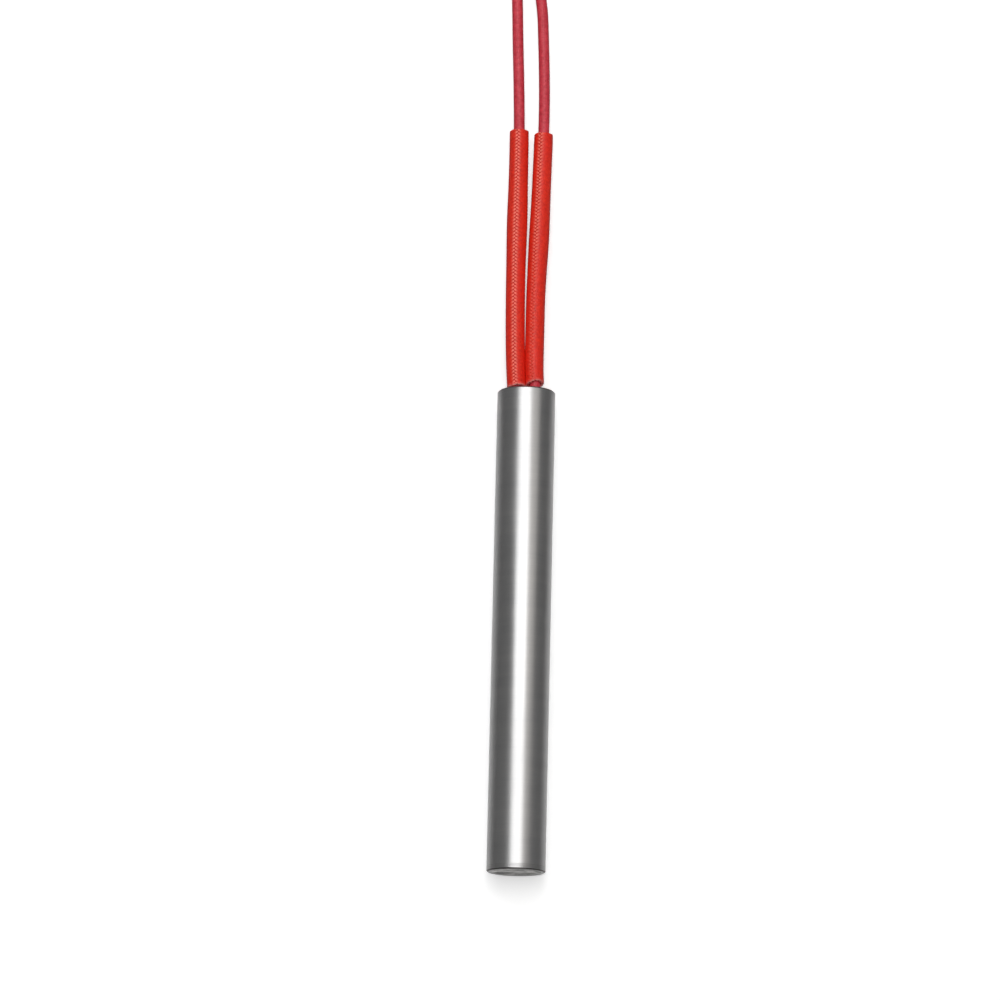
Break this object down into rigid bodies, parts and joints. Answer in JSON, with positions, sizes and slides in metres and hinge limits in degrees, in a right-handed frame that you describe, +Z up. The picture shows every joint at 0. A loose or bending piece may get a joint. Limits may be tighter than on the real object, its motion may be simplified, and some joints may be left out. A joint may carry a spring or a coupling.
{
  "type": "cartridge heater",
  "caption": "Round steel cartridge heater with a welded closed end, and insulated leads that leave its mouth in braided sleeves and end in a tied hank with bare tips.",
  "frame": {"origin": "on the surface that the heater lies on, under the middle of its sheath", "axes": "+Y along the heater towards its mouth and leads, +Z up, +X to the right as seen from above with the mouth at the far end"},
  "size_m": [0.0189, 0.2741, 0.012],
  "materials": {
    "sheath_steel": "fine ground finish",
    "weld_steel": "dull, welded and faced",
    "insulator_ceramic": "matt",
    "core_magnesia": "matt, chalky",
    "resistance_alloy": "drawn",
    "pin_nickel": "drawn",
    "mica": "satin",
    "cement": "matt",
    "crimp_metal": "pressed",
    "tinned_copper": "tinned",
    "mouth_rubber": "matt",
    "lead_insulation": "satin",
    "sleeve_braid": "coated braid",
    "tie_plastic": "satin"
  },
  "bodies": {
    "root": {"sheath": "sheath_steel", "end_disc": "weld_steel", "end_insulator": "insulator_ceramic", "core_segment_1": "core_magnesia", "core_segment_2": "core_magnesia", "resistance_winding": "resistance_alloy", "long_pin": "pin_nickel", "short_pin": "pin_nickel", "magnesia_fill": "core_magnesia", "front_insulator": "insulator_ceramic", "mica_washer": "mica", "cement_seal": "cement", "crimp_left": "crimp_metal", "crimp_right": "crimp_metal", "conductor_left": "tinned_copper", "conductor_right": "tinned_copper", "mouth_cap": "mouth_rubber", "lead_left": "lead_insulation", "lead_right": "lead_insulation", "sleeve_left": "sleeve_braid", "sleeve_right": "sleeve_braid", "lead_hank": "lead_insulation", "hank_tie": "tie_plastic", "bare_tip_left": "tinned_copper", "bare_tip_right": "tinned_copper"}
  },
  "joints": []
}
